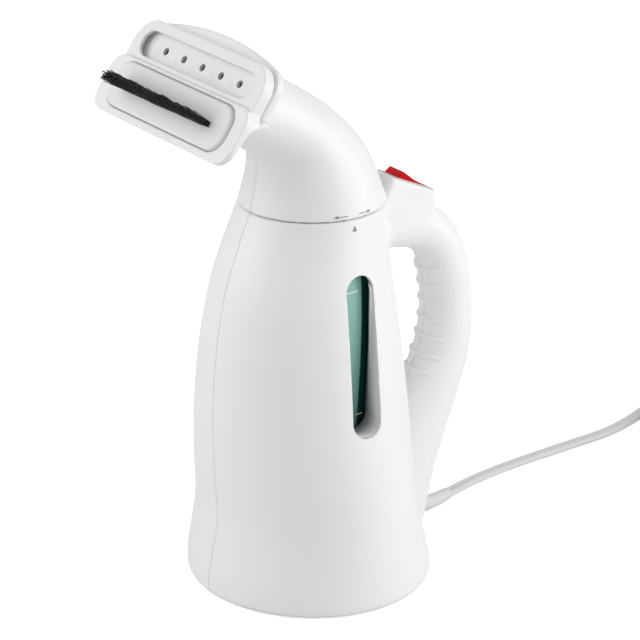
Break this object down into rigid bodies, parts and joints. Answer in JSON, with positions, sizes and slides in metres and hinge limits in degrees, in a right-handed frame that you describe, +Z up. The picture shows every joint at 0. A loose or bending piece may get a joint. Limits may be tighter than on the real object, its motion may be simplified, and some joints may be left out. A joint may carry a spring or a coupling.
{
  "type": "garment steamer",
  "caption": "Handheld kettle-type garment steamer with a water tank in the body, loop handle, rocker switch, twist-off spout and a wide steam head with a pull-off brush.",
  "frame": {"origin": "middle of the flat underside of the base, on the table", "axes": "+Z up, -Y forward to the steam head, +Y back to the handle, +X to the side with the level window"},
  "size_m": [0.118, 0.4214, 0.2652],
  "materials": {
    "white_abs": "satin moulded",
    "grey_abs": "satin",
    "soft_white_pad": "matt",
    "tinted_tank": "clear tinted plastic",
    "red_rocker": "gloss",
    "black_nylon": "matt",
    "grey_rubber": "matt",
    "silicone_seal": "matt",
    "cast_aluminium": "cast",
    "sheath_steel": "brushed",
    "plated_steel": "plated",
    "terminal_brass": "plated",
    "lead_pvc": "matt",
    "cord_pvc": "satin"
  },
  "bodies": {
    "base": {"body_shell_right": "white_abs", "body_shell_left": "white_abs", "base_cover": "white_abs", "rubber_feet": "grey_rubber", "base_screws": "plated_steel", "water_tank": "tinted_tank", "heater_plate": "cast_aluminium", "heater_seal": "silicone_seal", "heating_element": "sheath_steel", "clamp_ring": "sheath_steel", "clamp_screws": "plated_steel", "thermostat": "cast_aluminium", "thermal_fuse": "plated_steel", "neck_ring": "white_abs", "switch_housing": "grey_abs", "switch_terminals": "terminal_brass", "lead_feed": "lead_pvc", "lead_return": "lead_pvc", "cord_grommet": "grey_rubber", "cord_free": "cord_pvc", "cord_coil": "cord_pvc", "cord_tail": "cord_pvc", "cord_tie": "black_nylon", "plug_body": "cord_pvc", "plug_blades": "terminal_brass"},
    "spout": {"lock_ring": "white_abs", "mouth_gasket": "silicone_seal", "splash_baffle": "white_abs", "steam_tube": "silicone_seal", "spout_shell_right": "white_abs", "spout_shell_left": "white_abs", "steam_head": "white_abs", "steam_plate": "white_abs", "head_seal": "silicone_seal"},
    "brush": {"brush_frame": "white_abs", "brush_pad": "soft_white_pad", "brush_bristles": "black_nylon"},
    "switch_rocker": {"rocker": "red_rocker"}
  },
  "joints": [
    {"name": "spout_twist", "type": "hinge", "parent": "base", "child": "spout", "pos_m": [0, 0.0016, 0.1812], "axis": [0, 0, 1], "range_deg": [-40, 0]},
    {"name": "brush_pull", "type": "slide", "parent": "spout", "child": "brush", "axis": [0, -0.8192, 0.5736], "range_m": [0, 0.02]},
    {"name": "switch_rock", "type": "hinge", "parent": "base", "child": "switch_rocker", "pos_m": [0, 0.05219, 0.17787], "axis": [1, 0, 0], "range_deg": [0, 23.4]}
  ]
}
